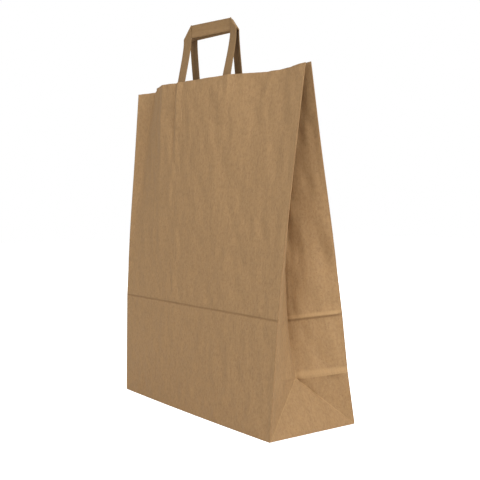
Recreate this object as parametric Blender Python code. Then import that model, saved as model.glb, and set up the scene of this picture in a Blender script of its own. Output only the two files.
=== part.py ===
"""Brown kraft paper carrier: a folded sheet with side gussets and a block bottom, and two flat handles.

Metres, +Z up. The origin is the middle of the base, on the surface that the bag stands on. +X is to the
right along the bag's width, and the front panel faces -Y.
"""

import math

import bmesh
import bpy
from mathutils import Vector

# The bag, measured outside. Heights are measured up the paper from the base edge.
WIDTH = 0.320
DEPTH = 0.125
HEIGHT = 0.410
WALL = 0.0003
FOLD = 0.0012  # width of the paper's own turn at a sharp fold
LOWER_CREASE = 0.0625
UPPER_CREASE = 0.1295
GUSSET_CHORD = 0.0600  # straight distance across one bowed half of a gusset
BOTTOM_LAP = 0.025  # how far the two bottom flaps overlap
FLAP_INSET = 0.0006

# How far each corner leans inwards: at the lower and upper crease, at one and two thirds of the height
# above them, and at the top.
LEAN_FRONT_LEFT = (0.0008, 0.0019, 0.0074, 0.0150, 0.0220)
LEAN_FRONT_RIGHT = (0.0058, 0.0112, 0.0232, 0.0362, 0.0498)
LEAN_REAR_LEFT = (0.0060, 0.0120, 0.0305, 0.0495, 0.0675)
LEAN_REAR_RIGHT = (0.0110, 0.0196, 0.0346, 0.0512, 0.0662)
BASE_BOW = 0.0020  # how far the panels' base edges bow outwards in the middle

# Waves of the two panels: how far the top edge stands inwards where the wave is deepest, and for each
# point its place at the top and at the upper crease, both as shares of the width from the left, and its
# share of that depth.
FRONT_WAVE_DEPTH = 0.0155
FRONT_WAVE = (
    (0.06, 0.02, 0.45),
    (0.11, 0.08, 0.19),
    (0.18, 0.15, -0.52),
    (0.26, 0.22, -1.00),
    (0.38, 0.35, -0.90),
    (0.47, 0.45, -0.81),
    (0.62, 0.60, -0.48),
    (0.76, 0.76, 0.08),
    (0.90, 0.90, 0.19),
)
REAR_WAVE_DEPTH = 0.0130
REAR_WAVE = (
    (0.19, 0.20, 0.38),
    (0.36, 0.37, 1.00),
    (0.48, 0.48, 0.88),
    (0.63, 0.63, 0.42),
    (0.78, 0.78, 0.00),
    (0.92, 0.92, -0.15),
)
WAVE_FADE = 1.6  # power by which a wave dies out towards the upper crease
# Sag of the top edges: the deepest one, then each point's place along the width and its share of it.
SAG_DEPTH = 0.0036
FRONT_SAG = (
    (0.00, 0.36),
    (0.06, 0.65),
    (0.20, 0.20),
    (0.45, 0.45),
    (0.65, 0.45),
    (0.82, 1.00),
    (0.92, 1.00),
    (1.00, 0.70),
)
REAR_SAG = ((0.00, -0.40), (1.00, -0.40))
GUSSET_BOW = 0.10  # sag of a gusset half, as a share of the gap that it spans
GUSSET_SKEW = 0.055  # how far the gusset's fold lies behind its middle, as a share of that gap
SKEW_RISE = 0.6  # share of the gusset's height at which the skew is full

# Handles: one folded tape each.
TAPE_WIDTH = 0.0152
TAPE_THICK = 0.0007
MITRE_GAP = 0.0002  # between the tape's two layers at a mitre
LEG_PITCH = 0.0790
LEG_INSIDE = 0.057
LEG_STRAIGHT = 0.009  # straight run of a leg below its mitre
HANDLE_SHIFT = -0.0053  # handles' middle along the width
# Middle of each grip's top edge: how far it lies from the bag's middle plane, and its height.
GRIP_FRONT = (-0.0238, 0.4799)
GRIP_REAR = (-0.0172, 0.4770)
# Turn and tilt of each grip.
GRIP_FRONT_ANGLES = (math.radians(10.4), math.radians(-1.2))
GRIP_REAR_ANGLES = (math.radians(6.7), math.radians(-1.9))

# Patches glued inside over the legs.
PATCH_WIDTH = 0.114
PATCH_HEIGHT = 0.056
PATCH_DROP = 0.006  # below the top edge
PATCH_STEP = 0.004  # width over which a patch climbs onto a leg
GLUE_GAP = 0.0003

NORMAL_STEP = 0.001  # share of a panel's size over which its slope is measured
COLUMN_STEP = 0.013
ROW_STEP = 0.036
LEG_STEPS = 9

BASE_LIFT = 2.5 * WALL  # the base sheet's middle lies over two flaps
HALF_WIDTH = (WIDTH - WALL) / 2
HALF_DEPTH = (DEPTH - WALL) / 2
FRONT, REAR = -1, 1
LEFT, RIGHT = -1, 1


def clear_scene():
    for obj in list(bpy.data.objects):
        bpy.data.objects.remove(obj, do_unlink=True)


def material(name, colour, roughness):
    paper = bpy.data.materials.new(name)
    paper.use_nodes = True
    shader = paper.node_tree.nodes["Principled BSDF"]
    shader.inputs["Base Color"].default_value = (*colour, 1.0)
    shader.inputs["Roughness"].default_value = roughness
    shader.inputs["Metallic"].default_value = 0.0
    return paper


def add_object(name, mesh_data, paper):
    mesh = bpy.data.meshes.new(name)
    mesh_data.to_mesh(mesh)
    mesh_data.free()
    mesh.materials.append(paper)
    obj = bpy.data.objects.new(name, mesh)
    bpy.context.scene.collection.objects.link(obj)
    return obj


def thicken(obj, thickness):
    """Give a sheet its thickness, half to each side."""
    solid = obj.modifiers.new("Thickness", "SOLIDIFY")
    solid.thickness = thickness
    solid.offset = 0.0
    solid.use_even_offset = True
    solid.use_quality_normals = True


def smooth_through(points, place):
    """Height at a place on a smooth curve through (place, height) points."""
    for i in range(len(points) - 1):
        if place <= points[i + 1][0]:
            break
    (x0, y0), (x1, y1) = points[i], points[i + 1]
    before, after = points[max(i - 1, 0)], points[min(i + 2, len(points) - 1)]
    span = x1 - x0
    slope0 = (y1 - before[1]) / (x1 - before[0]) * span
    slope1 = (after[1] - y0) / (after[0] - x0) * span
    t = (place - x0) / span
    return (
        y0 * (2 * t**3 - 3 * t**2 + 1)
        + slope0 * (t**3 - 2 * t**2 + t)
        + y1 * (3 * t**2 - 2 * t**3)
        + slope1 * (t**3 - t**2)
    )


def rise_at(v):
    """Share of the way from the upper crease to the top."""
    return max(v - UPPER_CREASE, 0.0) / (HEIGHT - UPPER_CREASE)


def lean_at(leans, v):
    """Inward lean of a corner at a height: straight between the creases, a smooth curve above them."""
    lower, upper = leans[:2]
    if v <= LOWER_CREASE:
        return lower * v / LOWER_CREASE
    if v <= UPPER_CREASE:
        return lower + (upper - lower) * (v - LOWER_CREASE) / (UPPER_CREASE - LOWER_CREASE)
    above = leans[1:]
    return smooth_through([(i / (len(above) - 1), lean) for i, lean in enumerate(above)], rise_at(v))


def wave_at(side, u, v):
    """How far a panel stands inwards of the straight line between its corners."""
    wave, depth = {FRONT: (FRONT_WAVE, FRONT_WAVE_DEPTH), REAR: (REAR_WAVE, REAR_WAVE_DEPTH)}[side]
    rise = rise_at(v)
    points = [(0.0, 0.0)]
    points += [(low + (top - low) * rise, share) for top, low, share in wave]
    points += [(1.0, 0.0)]
    return smooth_through(points, u) * depth * rise**WAVE_FADE


def inset_at(side, u, v):
    """Distance of a main panel inside the base's edge plane."""
    left, right = {
        FRONT: (LEAN_FRONT_LEFT, LEAN_FRONT_RIGHT),
        REAR: (LEAN_REAR_LEFT, LEAN_REAR_RIGHT),
    }[side]
    lean = lean_at(left, v) * (1 - u) + lean_at(right, v) * u
    bow = BASE_BOW * 4 * u * (1 - u) * max(1 - v / UPPER_CREASE, 0.0)
    return lean + wave_at(side, u, v) - bow


def panel_point(side, u, v):
    """Middle of the paper of the front or rear panel, at a share of the width and a height up the paper."""
    left = -HALF_WIDTH + FOLD
    right = HALF_WIDTH - FOLD
    sag = {FRONT: FRONT_SAG, REAR: REAR_SAG}[side]
    z = BASE_LIFT - smooth_through(sag, u) * SAG_DEPTH * rise_at(v)
    foot = 0.0
    for crease in (LOWER_CREASE, UPPER_CREASE, HEIGHT):
        head = min(v, crease)
        if head > foot:
            lean = inset_at(side, u, head) - inset_at(side, u, foot)
            z += math.sqrt((head - foot) ** 2 - lean**2)
        foot = crease
    y = side * (HALF_DEPTH - inset_at(side, u, v))
    return Vector((left + (right - left) * u, y, z))


def panel_inward(side, u, v):
    """Unit vector from a panel's paper into the bag."""
    u_low, u_high = max(u - NORMAL_STEP, 0.0), min(u + NORMAL_STEP, 1.0)
    v_low, v_high = max(v - NORMAL_STEP * HEIGHT, 0.0), min(v + NORMAL_STEP * HEIGHT, HEIGHT)
    across = panel_point(side, u_high, v) - panel_point(side, u_low, v)
    up = panel_point(side, u, v_high) - panel_point(side, u, v_low)
    return (across.cross(up) * side).normalized()


def inside_point(side, u, v, depth):
    return panel_point(side, u, v) + panel_inward(side, u, v) * depth


def leg_edges(end):
    """Shares of the width at a leg's two edges, outer edge first."""
    centre = HANDLE_SHIFT + end * LEG_PITCH / 2
    places = (centre + end * TAPE_WIDTH / 2, centre - end * TAPE_WIDTH / 2)
    return tuple(0.5 + place / WIDTH for place in places)


def patch_edges():
    return tuple(0.5 + (HANDLE_SHIFT + end * PATCH_WIDTH / 2) / WIDTH for end in (LEFT, RIGHT))


def patch_columns():
    """Shares of the width where a patch bends: its edges, and each side of both legs."""
    columns = set(patch_edges())
    for end in (LEFT, RIGHT):
        outer, inner = leg_edges(end)
        step = end * PATCH_STEP / WIDTH
        columns |= {outer, inner, outer + step, inner - step}
    first, last = sorted((leg_edges(LEFT)[1], leg_edges(RIGHT)[1]))
    columns |= {first + (last - first) * share for share in (0.3, 0.5, 0.7)}
    return sorted(columns)


def merged(special, length, step):
    """The special places, with even ones between them where the gap is wide."""
    places = sorted(special)
    result = [places[0]]
    for place in places[1:]:
        gap = (place - result[-1]) * length
        count = max(1, round(gap / step))
        start = result[-1]
        result += [start + (place - start) * i / count for i in range(1, count + 1)]
    return result


def panel_columns():
    return merged({0.0, 1.0} | set(patch_columns()), WIDTH, COLUMN_STEP)


def patch_rows():
    top = HEIGHT - PATCH_DROP
    return [top - PATCH_HEIGHT, HEIGHT - LEG_INSIDE, top]


def panel_rows():
    special = {UPPER_CREASE, HEIGHT} | set(patch_rows())
    return [LOWER_CREASE] + merged(special, 1.0, ROW_STEP)


def gusset_corners(end, v):
    """Where a gusset leaves the front panel and meets the rear one, a fold's width past their corners."""
    u = (1 + end) / 2
    front, rear = panel_point(FRONT, u, v), panel_point(REAR, u, v)
    open_share = (rear.y - front.y) / DEPTH
    return (
        front + Vector((end * FOLD * open_share, FOLD, 0)),
        rear + Vector((end * FOLD * open_share, -FOLD, 0)),
    )


def gusset_fold(end, v):
    """Middle of a gusset's inward fold."""
    front, rear = gusset_corners(end, v)
    middle = (front + rear) / 2
    gap = rear.y - front.y
    low_front, low_rear = gusset_corners(end, LOWER_CREASE)
    low_half = (low_rear.y - low_front.y) / 2
    low_inward = math.sqrt(max(GUSSET_CHORD**2 - low_half**2, 0.0))
    apex_height = BASE_LIFT + math.sqrt(LOWER_CREASE**2 - low_inward**2)
    height = apex_height + v - LOWER_CREASE
    drop = (middle.z - height) if v > LOWER_CREASE else 0.0
    rise = max(v - LOWER_CREASE, 0.0) / (HEIGHT - LOWER_CREASE)
    skew = GUSSET_SKEW * (1 - math.cos(math.pi * min(rise / SKEW_RISE, 1.0))) / 2
    reach = gap * (0.5 + skew)
    inward = math.sqrt(max(GUSSET_CHORD**2 - reach**2 - drop**2, 0.0))
    return Vector((middle.x - end * inward, front.y + reach, height))


def gusset_row(end, v):
    """Points across a gusset from front to rear, with its inward fold in the middle."""
    front, rear = gusset_corners(end, v)
    fold = gusset_fold(end, v)
    fold_front = fold - Vector((0, FOLD / 2, 0))
    fold_rear = fold + Vector((0, FOLD / 2, 0))
    rise = max(v - LOWER_CREASE, 0.0) / (HEIGHT - LOWER_CREASE)
    bow = GUSSET_BOW * (rear.y - front.y) * min(4 * rise, 1.0)
    row = [front]
    for share in (1 / 3, 2 / 3):
        sag = Vector((0, 4 * share * (1 - share) * bow, 0))
        row.append(front.lerp(fold_front, share) + sag)
    row += [fold_front, fold_rear]
    for share in (1 / 3, 2 / 3):
        sag = Vector((0, -4 * share * (1 - share) * bow, 0))
        row.append(fold_rear.lerp(rear, share) + sag)
    return row + [rear]


def bag_row(v, columns):
    """One closed ring of the bag's wall: front, right gusset, rear, left gusset."""
    ring = [panel_point(FRONT, u, v) for u in columns]
    ring += gusset_row(RIGHT, v)
    ring += [panel_point(REAR, u, v) for u in reversed(columns)]
    return ring + list(reversed(gusset_row(LEFT, v)))


def make_body(paper):
    columns = panel_columns()
    across = len(columns)
    rows = panel_rows()
    sheet = bmesh.new()
    rings = [[sheet.verts.new(point) for point in bag_row(v, columns)] for v in rows]
    for lower, upper in zip(rings, rings[1:]):
        for i in range(len(lower)):
            j = (i + 1) % len(lower)
            sheet.faces.new((lower[i], lower[j], upper[j], upper[i]))

    # Below the lower crease each gusset is a tilted triangle on the base edge with a triangle each side.
    foot = {}
    for side in (FRONT, REAR):
        foot[side] = [sheet.verts.new(panel_point(side, u, 0.0)) for u in columns]
    first = rings[0]
    front_low = first[:across]
    right_low = first[across : across + 8]
    rear_low = list(reversed(first[across + 8 : 2 * across + 8]))
    left_low = list(reversed(first[2 * across + 8 :]))
    for i in range(across - 1):
        sheet.faces.new((foot[FRONT][i], foot[FRONT][i + 1], front_low[i + 1], front_low[i]))
        sheet.faces.new((foot[REAR][i + 1], foot[REAR][i], rear_low[i], rear_low[i + 1]))
    corner_feet = {}
    for end, low, column in ((RIGHT, right_low, across - 1), (LEFT, left_low, 0)):
        front_foot, rear_foot = (sheet.verts.new(point) for point in gusset_corners(end, 0.0))
        corner_feet[end] = (front_foot, rear_foot)
        sheet.faces.new((foot[FRONT][column], front_foot, low[0], front_low[column]))
        sheet.faces.new((front_foot, low[3], low[2], low[1], low[0]))
        sheet.faces.new((front_foot, rear_foot, low[4], low[3]))
        sheet.faces.new((rear_foot, low[7], low[6], low[5], low[4]))
        sheet.faces.new((rear_foot, foot[REAR][column], rear_low[column], low[7]))
    outline = foot[FRONT] + list(corner_feet[RIGHT]) + list(reversed(foot[REAR]))
    outline += list(reversed(corner_feet[LEFT]))
    sheet.faces.new(outline)
    bmesh.ops.triangulate(sheet, faces=[f for f in sheet.faces if len(f.verts) < 20])
    bmesh.ops.recalc_face_normals(sheet, faces=sheet.faces)
    body = add_object("bag_body", sheet, paper)
    thicken(body, WALL)
    # The rear flap is pressed on first, and the front flap laps over it.
    join_flap(body, bottom_flap("flap_rear", REAR, WALL, paper))
    join_flap(body, bottom_flap("flap_front", FRONT, 0.0, paper))
    return body


def bottom_flap(name, side, underside, paper):
    """A long bottom flap: a trapezoid with ends folded at 45 degrees, reaching up into the base sheet."""
    reach = DEPTH / 2 + BOTTOM_LAP / 2 - FLAP_INSET
    long_half = WIDTH / 2 - FLAP_INSET - FOLD
    short_half = long_half - reach
    y_free = side * (DEPTH / 2 - FLAP_INSET - reach)
    feet = [panel_point(side, u, 0.0) for u in panel_columns()]
    folded = [(foot.x * long_half / feet[-1].x, foot.y - side * FLAP_INSET) for foot in feet]
    outline = folded + [(short_half, y_free), (-short_half, y_free)]
    flap = bmesh.new()
    lower = [flap.verts.new((x, y, underside)) for x, y in outline]
    upper = [flap.verts.new((x, y, BASE_LIFT)) for x, y in outline]
    flap.faces.new(lower)
    flap.faces.new(upper)
    for i in range(len(outline)):
        j = (i + 1) % len(outline)
        flap.faces.new((lower[i], lower[j], upper[j], upper[i]))
    bmesh.ops.recalc_face_normals(flap, faces=flap.faces)
    helper = add_object(name, flap, paper)
    helper.hide_render = True
    helper.display_type = "WIRE"
    return helper


def join_flap(body, flap):
    """The flap is one with the sheet, so the two are joined into one solid."""
    join = body.modifiers.new(flap.name, "BOOLEAN")
    join.operation = "UNION"
    join.solver = "EXACT"
    join.object = flap


def make_patch(name, side, paper):
    """Patch that lies on the panel and climbs over the two legs."""
    flat_depth = WALL / 2 + GLUE_GAP + WALL / 2
    raised_depth = flat_depth + TAPE_THICK + GLUE_GAP
    legs = [sorted(leg_edges(end)) for end in (LEFT, RIGHT)]
    first, last = patch_edges()
    columns = [u for u in panel_columns() if first - 1e-6 <= u <= last + 1e-6]
    sheet = bmesh.new()
    grid = []
    for v in patch_rows():
        row = []
        for u in columns:
            on_leg = any(low - 1e-6 <= u <= high + 1e-6 for low, high in legs)
            depth = raised_depth if on_leg else flat_depth
            row.append(sheet.verts.new(inside_point(side, u, v, depth)))
        grid.append(row)
    for lower, upper in zip(grid, grid[1:]):
        for i in range(len(columns) - 1):
            sheet.faces.new((lower[i], lower[i + 1], upper[i + 1], upper[i]))
    bmesh.ops.triangulate(sheet, faces=sheet.faces)
    patch = add_object(name, sheet, paper)
    thicken(patch, WALL)
    return patch


def grip_frame(side):
    """Middle of a grip's top edge, with its directions along, up and towards the front."""
    offset, height = {FRONT: GRIP_FRONT, REAR: GRIP_REAR}[side]
    turn, tilt = {FRONT: GRIP_FRONT_ANGLES, REAR: GRIP_REAR_ANGLES}[side]
    along = Vector(
        (math.cos(turn) * math.cos(tilt), math.sin(turn) * math.cos(tilt), math.sin(tilt))
    )
    facing = along.cross(Vector((0, 0, 1))).normalized()
    return Vector((HANDLE_SHIFT, offset, height)), along, facing.cross(along), facing


def section(edge_a, edge_b, face):
    """Four corners of the tape across one place, from its two edges and its face direction."""
    half = face * (TAPE_THICK / 2)
    return (edge_a + half, edge_b + half, edge_b - half, edge_a - half)


def mitre_sections(side, end):
    """Sections of the tape from the straight top of a leg round its 45 degree fold onto the grip."""
    top, along, up, facing = grip_frame(side)
    outward = facing * -side
    layer = (TAPE_THICK + MITRE_GAP) / 2
    outer = top + along * end * (LEG_PITCH + TAPE_WIDTH) / 2
    inner = top + along * end * (LEG_PITCH - TAPE_WIDTH) / 2
    low = up * -TAPE_WIDTH
    ahead = (along * end + up).normalized()
    straight = low - up * LEG_STRAIGHT
    return [
        section(outer + straight + outward * layer, inner + straight + outward * layer, outward),
        section(outer + low + outward * layer, inner + outward * layer, outward),
        section(outer + low + ahead * layer, inner + ahead * layer, ahead),
        section(outer + low - outward * layer, inner - outward * layer, -outward),
    ]


def leg_sections(side, end):
    """Sections of a leg from its end inside the bag up to the straight stretch below the mitre."""
    outer_u, inner_u = leg_edges(end)
    depth = WALL / 2 + GLUE_GAP + TAPE_THICK / 2
    sections = []
    for v in [HEIGHT - LEG_INSIDE, HEIGHT - PATCH_DROP, HEIGHT]:
        outer = inside_point(side, outer_u, v, depth)
        inner = inside_point(side, inner_u, v, depth)
        sections.append(section(outer, inner, -panel_inward(side, (outer_u + inner_u) / 2, v)))
        centre = (outer + inner) / 2
        if v < HEIGHT:
            below = centre
    rise = (centre - below).normalized()
    width = (inner - outer).normalized()
    _, along, up, _ = grip_frame(side)
    mitre = mitre_sections(side, end)[0]
    goal = sum(mitre, Vector()) / 4
    goal_width = along * -end
    reach = (goal - centre).length
    for i in range(1, LEG_STEPS):
        t = i / LEG_STEPS
        place = (
            centre * (2 * t**3 - 3 * t**2 + 1)
            + rise * reach * (t**3 - 2 * t**2 + t)
            + goal * (3 * t**2 - 2 * t**3)
            + up * reach * (t**3 - t**2)
        )
        heading = (
            centre * (6 * t**2 - 6 * t)
            + rise * reach * (3 * t**2 - 4 * t + 1)
            + goal * (6 * t - 6 * t**2)
            + up * reach * (3 * t**2 - 2 * t)
        ).normalized()
        across = width.lerp(goal_width, t)
        across = (across - heading * across.dot(heading)).normalized()
        face = across.cross(heading) * (side * end)
        half = across * (TAPE_WIDTH / 2)
        sections.append(section(place - half, place + half, face))
    return sections


def make_handle(name, side, paper):
    """One tape: up the left leg, round the mitre, along the grip and down the right leg."""
    left = leg_sections(side, LEFT) + mitre_sections(side, LEFT)
    right = leg_sections(side, RIGHT) + mitre_sections(side, RIGHT)
    strip = bmesh.new()
    sections = [[strip.verts.new(p) for p in corners] for corners in left + right[::-1]]
    for before, after in zip(sections, sections[1:]):
        for i in range(4):
            j = (i + 1) % 4
            strip.faces.new((before[i], before[j], after[j], after[i]))
    strip.faces.new(sections[0])
    strip.faces.new(sections[-1])
    bmesh.ops.triangulate(strip, faces=strip.faces)
    bmesh.ops.recalc_face_normals(strip, faces=strip.faces)
    return add_object(name, strip, paper)


def main():
    clear_scene()
    kraft = material("kraft_paper", (0.37, 0.24, 0.13), 0.85)
    tape = material("kraft_tape", (0.33, 0.21, 0.11), 0.8)
    lining = material("kraft_patch", (0.37, 0.24, 0.13), 0.85)
    make_body(kraft)
    make_patch("patch_front", FRONT, lining)
    make_patch("patch_rear", REAR, lining)
    make_handle("handle_front", FRONT, tape)
    make_handle("handle_rear", REAR, tape)


main()
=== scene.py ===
"""Looks of a brown kraft paper gift bag: one folded sheet, two folded-tape handles and their patches.

The sheet, the tapes and the patches are built again here with the same sizes as their solids, and finer:
with the paper's unevenness, its rounded folds, its creases and the marks that the glued legs press into it.
Every point of the sheet carries its place on the flat sheet before folding, and the paper's fibres and
specks, and the lines along its folds (painted shade, painted highlights and scuffed paper), are drawn from
that place.
"""

import math

import bmesh
import bpy
import numpy as np
from mathutils import Matrix, Vector


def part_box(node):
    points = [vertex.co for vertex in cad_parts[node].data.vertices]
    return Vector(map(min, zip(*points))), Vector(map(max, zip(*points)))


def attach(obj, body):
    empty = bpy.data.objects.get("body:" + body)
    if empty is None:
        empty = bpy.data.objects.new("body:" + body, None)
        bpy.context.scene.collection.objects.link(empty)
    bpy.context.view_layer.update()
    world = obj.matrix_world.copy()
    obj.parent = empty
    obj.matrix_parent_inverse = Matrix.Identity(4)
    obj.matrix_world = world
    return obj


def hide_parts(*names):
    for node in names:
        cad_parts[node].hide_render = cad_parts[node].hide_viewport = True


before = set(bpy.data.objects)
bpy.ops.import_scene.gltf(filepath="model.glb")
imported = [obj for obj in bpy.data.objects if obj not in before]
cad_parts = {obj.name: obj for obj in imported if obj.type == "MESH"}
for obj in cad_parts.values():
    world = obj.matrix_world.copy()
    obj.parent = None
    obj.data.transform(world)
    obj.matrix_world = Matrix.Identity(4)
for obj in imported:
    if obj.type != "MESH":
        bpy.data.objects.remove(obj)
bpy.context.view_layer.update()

bl_info = {
    "name": "Paper Gift Bag",
    "version": (1, 0, 0),
    "blender": (4, 5, 0),
    "location": "View3D > Sidebar > Gift Bag",
    "description": "Folds a kraft paper bag, glues in its handles and sets up a plain studio",
    "category": "Object",
}

PLACE = "sheet_place"  # attribute: mm round the flat sheet, mm up it, mm into a gusset from its fold
FRONT, REAR = -1, 1
LEFT, RIGHT = -1, 1
MM = 0.001

# The lean of the four corners, in metres inwards: at the lower and upper crease, at one and two thirds
# of the height above them, and at the top.
LEANS = {
    (FRONT, LEFT): (0.0008, 0.0019, 0.0074, 0.0150, 0.0220),
    (FRONT, RIGHT): (0.0058, 0.0112, 0.0232, 0.0362, 0.0498),
    (REAR, LEFT): (0.0060, 0.0120, 0.0305, 0.0495, 0.0675),
    (REAR, RIGHT): (0.0110, 0.0196, 0.0346, 0.0512, 0.0662),
}
# Waves of the panels: depth, and for each point its place at the top and at the upper crease as shares
# of the width, and its share of the depth.
WAVES = {
    FRONT: (
        0.0155,
        (
            (0.06, 0.02, 0.45),
            (0.11, 0.08, 0.19),
            (0.18, 0.15, -0.52),
            (0.26, 0.22, -1.00),
            (0.38, 0.35, -0.90),
            (0.47, 0.45, -0.81),
            (0.62, 0.60, -0.48),
            (0.76, 0.76, 0.08),
            (0.90, 0.90, 0.19),
        ),
    ),
    REAR: (
        0.0130,
        (
            (0.19, 0.20, 0.38),
            (0.36, 0.37, 1.00),
            (0.48, 0.48, 0.88),
            (0.63, 0.63, 0.42),
            (0.78, 0.78, 0.00),
            (0.92, 0.92, -0.15),
        ),
    ),
}
WAVE_FADE = 1.6
BASE_BOW = 0.0020
# Sag of the top edges: the deepest one, and each point's place and share of it.
SAG_DEPTH = 0.0036
SAGS = {
    FRONT: (
        (0.00, 0.36),
        (0.06, 0.65),
        (0.20, 0.20),
        (0.45, 0.45),
        (0.65, 0.45),
        (0.82, 1.00),
        (0.92, 1.00),
        (1.00, 0.70),
    ),
    REAR: ((0.00, -0.40), (1.00, -0.40)),
}
FOLD = 0.0009  # width of the paper's own turn at a sharp fold
TURN_SHUT, TURN_OPEN = 3.6, 1.7  # how full that turn is at the mouth and at the base, in folds
GUSSET_CHORD = 0.0602
FRONT_HALF_BOW = 0.015
REAR_HALF_BOW = 0.10
GUSSET_SKEW = 0.055
SKEW_RISE = 0.6
EARLY_SKEW = 0.021
BOTTOM_LAP = 0.025
FLAP_INSET = 0.0006
GLUE_GAP = 0.0003
PATCH_STEP = 0.004
MITRE_GAP = 0.0002
LEG_STRAIGHT = 0.002
MITRE_TURNS = {
    (FRONT, LEFT): math.radians(4),
    (FRONT, RIGHT): math.radians(-8),
    (REAR, LEFT): math.radians(1),
    (REAR, RIGHT): math.radians(-6),
}
HANDLE_SHIFTS = {FRONT: -0.0053, REAR: -0.0022}
# How a leg leaves the bag's mouth: its distance off the paper, and how its tape is turned there.
LEG_STANDS = {FRONT: 0.0036, REAR: 0.0012}
LEG_TURNS = {
    (FRONT, LEFT): math.radians(4),
    (FRONT, RIGHT): math.radians(3),
    (REAR, LEFT): math.radians(-1),
    (REAR, RIGHT): math.radians(-3),
}
# Grips: place of the top edge's middle, turn and tilt.
GRIPS = {
    FRONT: (-0.0058, -0.0240, 0.4806, math.radians(11.6), math.radians(-0.2)),
    REAR: (-0.0072, -0.0172, 0.4791, math.radians(6.9), math.radians(-0.3)),
}

# Places across the tape, as shares of its width, and how full its rounded section is there.
TAPE_PROFILE = (
    (0.000, 0.15),
    (0.008, 0.70),
    (0.025, 1.00),
    (0.190, 1.00),
    (0.205, 1.00),
    (0.500, 1.00),
    (0.810, 1.00),
    (0.975, 1.00),
    (0.992, 0.70),
    (1.000, 0.15),
)
PLY_EDGE = 0.195  # the free edge of the folded strip's top ply
PLY_STEP = 0.00016
MITRE_STEPS = 9
LEG_EASE = 0.7  # how gently a leg bends, as a share of its span

# How far the upper crease strays from its height, in metres up, at places round the sheet in mm.
CREASE_DRIFT = (
    (0, 0.0016),
    (320, -0.0017),
    (382.5, -0.0027),
    (445, 0.0),
    (765, 0.0008),
    (827.5, 0.0012),
    (890, 0.0016),
)
DRIFT_REACH = 0.030
GROOVE_DEPTH = 0.00060
GROOVE_WIDTH = 0.0018
# The gussets' rear halves stand out just above the upper crease and along the lower one, and are hollow
# higher up, where a hand pressed the bag flat.
LIP_HEIGHT = 0.0024
LIP_START = -0.0018
LIP_END = 0.0016
LIP_REACH = 0.0070
LIP_FALL = 0.6  # how much of the lip is gone at the gusset's inner fold
RIDGE_HEIGHT = 0.0026
RIDGE_REACH = 0.011
RIDGE_FADE = (0.0, 0.006)
HOLLOW_DEPTH = 0.0036
HOLLOW_PLACE = 0.203
HOLLOW_REACH = 0.042
HOLLOW_FADE = (0.0, 0.010)
COCKLE_HEIGHT = 0.00105
# Cockles of the paper: their width and length, share of the height, seed, and lean across and along.
PANEL_COCKLES = (
    (0.0105, 0.0230, 1.00, 3, 0.12, 0.25),
    (0.0050, 0.0120, 0.35, 15, 0.0, 0.0),
    (0.0240, 0.0550, 0.80, 11, 0.0, 0.0),
)
GUSSET_COCKLES = (
    (0.0090, 0.0280, 1.20, 21, 0.09, 0.0),
    (0.0200, 0.0500, 0.72, 33, 0.0, 0.0),
)
# How far a panel's cockles wander across and along: reach, width, length and seed.
WANDER_ACROSS = (0.007, 0.030, 0.040, 5)
WANDER_ALONG = (0.012, 0.025, 0.050, 8)
# The unevenness fades out towards edges and creases: none at the first distance, whole at the second.
EDGE_FADE = (0.0005, 0.010)
FOOT_FADE = (0.0, 0.008)
CREASE_FADE = (0.001, 0.006)
CORNER_FADE = (0.0, 0.004)
GUSSET_EDGE_FADE = (0.0005, 0.008)
GUSSET_CREASE_FADE = (0.0, 0.005)
# Soft folds of the front panel, in mm: the place across and up of the upper and of the lower end, how far
# the fold reaches to its left and right, and how far it stands inwards.
SOFT_FOLDS = (
    ((20, 410), (4, 180), 16, 30, 2.8),
    ((82, 410), (74, 270), 18, 12, -2.7),
    ((106, 410), (97, 285), 13, 12, 2.8),
    ((114, 410), (106, 310), 9, 8, -1.8),
    ((122, 410), (120, 340), 4, 5, 0.6),
    ((201, 410), (198, 340), 5, 4, -0.5),
    ((286, 410), (290, 210), 18, 34, 1.2),
    ((215, 400), (222, 300), 9, 9, 0.5),
    ((158, 330), (146, 220), 10, 10, -0.5),
    ((120, 300), (112, 190), 9, 12, -0.5),
    ((264, 290), (270, 160), 12, 14, -0.5),
    ((140, 398), (132, 300), 7, 6, -0.7),
    ((170, 410), (168, 310), 11, 14, 1.1),
    ((250, 410), (240, 300), 16, 22, 0.5),
    ((146, 128), (146, 46), 12, 7, 0.6),
    ((228, 126), (224, 60), 12, 14, -0.4),
    ((25, 23), (2, 8), 4, 4, -0.5),
    ((319, 34), (309, 2), 6, 12, 0.9),
    ((264, 26), (258, 2), 4, 5, -0.6),
    ((96, 100), (90, 30), 10, 10, -0.5),
    ((190, 118), (186, 50), 9, 12, 0.5),
    ((275, 122), (272, 60), 8, 10, 0.5),
    ((60, 250), (52, 150), 14, 12, 0.4),
    ((180, 300), (196, 180), 14, 18, -0.4),
)
FOLD_TOP = 400  # mm up: a soft fold that starts higher runs out over the top edge
FOLD_START, FOLD_END = 0.45, 0.3  # shares of a soft fold over which it fades at its foot and head
IMPRINT_HEIGHT = 0.00035
IMPRINT_EDGE = 0.0010
SEAM_PLACE = 0.018  # the glued lap's free edge, from the rear panel's left fold
SEAM_EDGE = 0.0003
SEAM_FADE = (0.0, 0.003)
SEAM_STEP = 0.00025

PANEL_STEP = 0.0028
ROW_STEP = 0.0056
FINE_PLACES = (0.098, 0.1265)  # the sharpest of the front panel's soft folds
FINE_STEP = 0.0012
CLOSE_STEPS = (0.0006, 0.0012, 0.0028)
SLOPE_STEP = 0.0004
ARC_STEPS = 6
TAPE_STEP = 0.004
PATCH_GRID = 0.0022
BASE_ROWS = 16
FLAP_ROWS = 9
FLAP_TURN = (0.3, math.pi / 2, 5)  # a bottom flap's turn: its first and last angle, and steps
LINE_SLACK = 0.05  # mm: a point this near to a folded line is on it

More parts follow.
